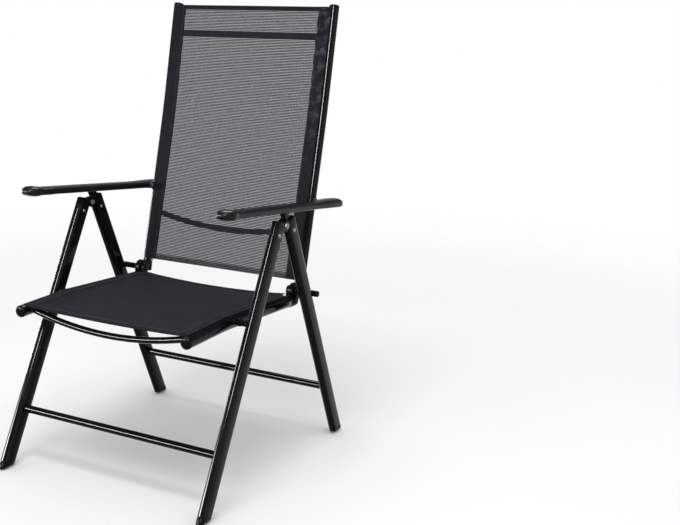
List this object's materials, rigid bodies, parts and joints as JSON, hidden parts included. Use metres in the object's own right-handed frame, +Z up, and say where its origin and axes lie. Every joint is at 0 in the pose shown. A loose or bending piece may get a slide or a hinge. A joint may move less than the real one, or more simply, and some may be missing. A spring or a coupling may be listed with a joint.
{
  "type": "folding reclining lawn chair",
  "caption": "Folding lawn chair with a black tube frame, a stretched fabric seat and high reclining back, hollow arms with toothed racks, and legs that scissor flat.",
  "frame": {"origin": "on the floor, under the middle of the chair's bounding box", "axes": "+X to the sitter's left, -Y to the front, +Z up"},
  "size_m": [0.604, 0.6818, 1.0798],
  "materials": {
    "coated_steel": "gloss black powder coat",
    "black_plastic": "moulded, fine matte grain",
    "arm_plastic": "moulded, satin",
    "zinc_steel": "bright zinc plate",
    "back_fabric": "open weave of coated polyester yarn",
    "seat_fabric": "dense weave of coated polyester yarn"
  },
  "bodies": {
    "front_legs": {"front_leg_left": "coated_steel", "front_leg_right": "coated_steel", "front_foot_left": "black_plastic", "front_foot_right": "black_plastic", "front_plug_left": "black_plastic", "front_plug_right": "black_plastic", "front_plug_rivet_left": "zinc_steel", "front_plug_rivet_right": "zinc_steel", "leg_hinge_bolt_left": "zinc_steel", "leg_hinge_bolt_right": "zinc_steel", "front_stretcher": "coated_steel", "seat_pivot_bolt_left": "zinc_steel", "seat_pivot_bolt_right": "zinc_steel"},
    "rear_legs": {"rear_leg_left": "coated_steel", "rear_leg_right": "coated_steel", "rear_foot_left": "black_plastic", "rear_foot_right": "black_plastic", "rear_plug_left": "black_plastic", "rear_plug_right": "black_plastic", "rear_plug_rivet_left": "zinc_steel", "rear_plug_rivet_right": "zinc_steel", "catch_pin_left": "zinc_steel", "catch_pin_right": "zinc_steel", "rear_stretcher": "coated_steel"},
    "seat": {"seat_tube_left": "coated_steel", "seat_tube_right": "coated_steel", "seat_front_cap_left": "black_plastic", "seat_front_cap_right": "black_plastic", "seat_front_bar": "coated_steel", "seat_rear_bar": "coated_steel", "seat_pivot_spacer_left": "black_plastic", "seat_pivot_spacer_right": "black_plastic", "seat_hinge_bracket_left": "black_plastic", "seat_hinge_bracket_right": "black_plastic", "seat_bracket_rivet_left": "zinc_steel", "seat_bracket_rivet_right": "zinc_steel", "seat_sling": "seat_fabric"},
    "hinge_pins": {"hinge_pin_left": "coated_steel", "hinge_pin_right": "coated_steel", "hinge_pin_cap_left": "black_plastic", "hinge_pin_cap_right": "black_plastic"},
    "back": {"back_tube_left": "coated_steel", "back_tube_right": "coated_steel", "back_top_cap_left": "black_plastic", "back_top_cap_right": "black_plastic", "back_head_bar": "coated_steel", "back_lumbar_bar": "coated_steel", "back_hinge_plug_left": "black_plastic", "back_hinge_plug_right": "black_plastic", "back_plug_rivet_left": "zinc_steel", "back_plug_rivet_right": "zinc_steel", "back_sling": "back_fabric"},
    "arm_washers": {"arm_washer_left": "zinc_steel", "arm_washer_right": "zinc_steel"},
    "arm_bolts": {"arm_pivot_bolt_left": "zinc_steel", "arm_pivot_bolt_right": "zinc_steel"},
    "arm_left": {"armrest_left": "arm_plastic", "arm_rack_left": "black_plastic"},
    "arm_right": {"armrest_right": "arm_plastic", "arm_rack_right": "black_plastic"}
  },
  "joints": [
    {"name": "fold", "type": "hinge", "parent": "front_legs", "child": "seat", "pos_m": [0, -0.11826, 0.389], "axis": [-1, 0, 0], "range_deg": [0, 85]},
    {"name": "rear_legs_swing", "type": "hinge", "parent": "front_legs", "child": "rear_legs", "pos_m": [0, 0.00763, 0.59], "axis": [-1, 0, 0], "range_deg": [0, 50]},
    {"name": "hinge_pins_turn", "type": "hinge", "parent": "seat", "child": "hinge_pins", "pos_m": [0, 0.1422, 0.40097], "axis": [-1, 0, 0], "range_deg": [-85, 0]},
    {"name": "recline", "type": "hinge", "parent": "hinge_pins", "child": "back", "pos_m": [0, 0.1422, 0.40097], "axis": [-1, 0, 0], "range_deg": [0, 28]},
    {"name": "arms_fold", "type": "hinge", "parent": "back", "child": "arm_washers", "pos_m": [0, 0.22024, 0.60601], "axis": [-1, 0, 0], "range_deg": [0, 111]},
    {"name": "arms_level", "type": "hinge", "parent": "arm_washers", "child": "arm_bolts", "pos_m": [0, 0.22024, 0.60601], "axis": [-1, 0, 0], "range_deg": [-18.5, 0]},
    {"name": "arm_lift_left", "type": "hinge", "parent": "arm_bolts", "child": "arm_left", "pos_m": [0, 0.22024, 0.60601], "axis": [-1, 0, 0], "range_deg": [0, 30]},
    {"name": "arm_lift_right", "type": "hinge", "parent": "arm_bolts", "child": "arm_right", "pos_m": [0, 0.22024, 0.60601], "axis": [-1, 0, 0], "range_deg": [0, 30]}
  ],
  "couplings": [
    {"joint": "rear_legs_swing", "follows": "fold", "ratio": 0.5835},
    {"joint": "hinge_pins_turn", "follows": "fold", "ratio": -1},
    {"joint": "arms_fold", "follows": "fold", "ratio": 1.3},
    {"joint": "arms_level", "follows": "recline", "ratio": -0.648}
  ]
}
